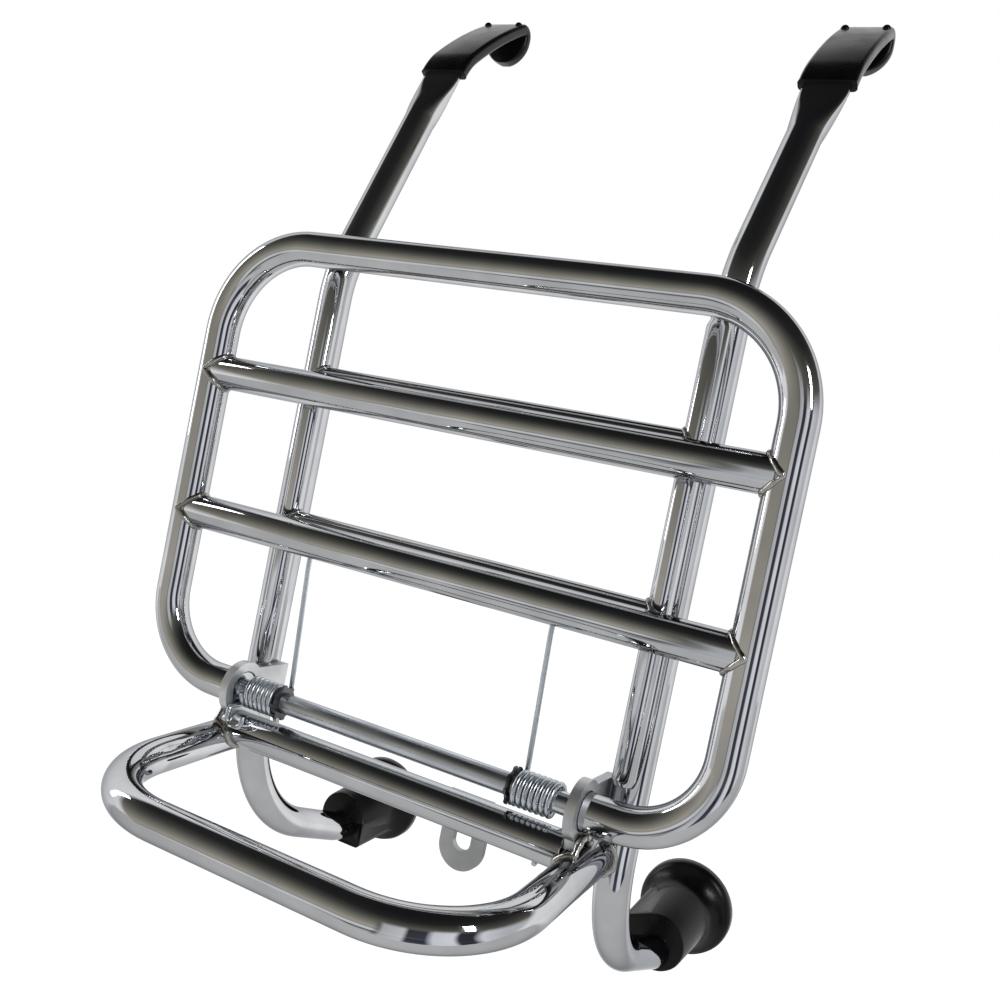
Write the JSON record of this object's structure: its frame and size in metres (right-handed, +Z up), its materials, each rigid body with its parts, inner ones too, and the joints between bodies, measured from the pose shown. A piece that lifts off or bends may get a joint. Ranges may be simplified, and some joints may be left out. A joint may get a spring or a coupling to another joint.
{
  "type": "folding luggage rack",
  "caption": "Chromed tube rack with coated hooks and rubber feet that hangs on a legshield; a sprung tube grid folds down onto a fixed shelf.",
  "frame": {"origin": "midway between the two hooks, where the panel's top edge sits under them", "axes": "+Z up along the upright grid, +Y back towards the panel, +X to the viewer's right seen from the front"},
  "size_m": [0.2928, 0.2708, 0.4868],
  "materials": {
    "chrome": "bright chrome plate",
    "zinc": "bright zinc plate",
    "dark_steel": "dark phosphate",
    "coating": "gloss dipped vinyl",
    "rubber": "satin moulded rubber"
  },
  "bodies": {
    "rack": {"hook_tube_left": "chrome", "hook_tube_right": "chrome", "hook_sleeve_left": "coating", "hook_sleeve_right": "coating", "spacer_rod_left": "chrome", "spacer_rod_right": "chrome", "tie_bar_lower": "chrome", "tie_bar_upper": "chrome", "base_bar": "chrome", "shelf_tube": "chrome", "hinge_lug_left": "chrome", "hinge_lug_right": "chrome", "spring_anchor_left": "zinc", "spring_anchor_right": "zinc", "mounting_tab": "chrome", "rubber_foot_left": "rubber", "rubber_foot_right": "rubber"},
    "grid": {"grid_frame": "chrome", "grid_bar_lower": "chrome", "grid_bar_upper": "chrome", "hinge_rod": "zinc", "spring_left": "zinc", "spring_right": "zinc", "retaining_ring_left": "dark_steel", "retaining_ring_right": "dark_steel"}
  },
  "joints": [
    {"name": "grid_fold", "type": "hinge", "parent": "rack", "child": "grid", "pos_m": [0, -0.13, -0.358], "axis": [1, 0, 0], "range_deg": [0, 99], "stiffness_Nm_per_rad": 1, "springref_deg": -20.05}
  ]
}
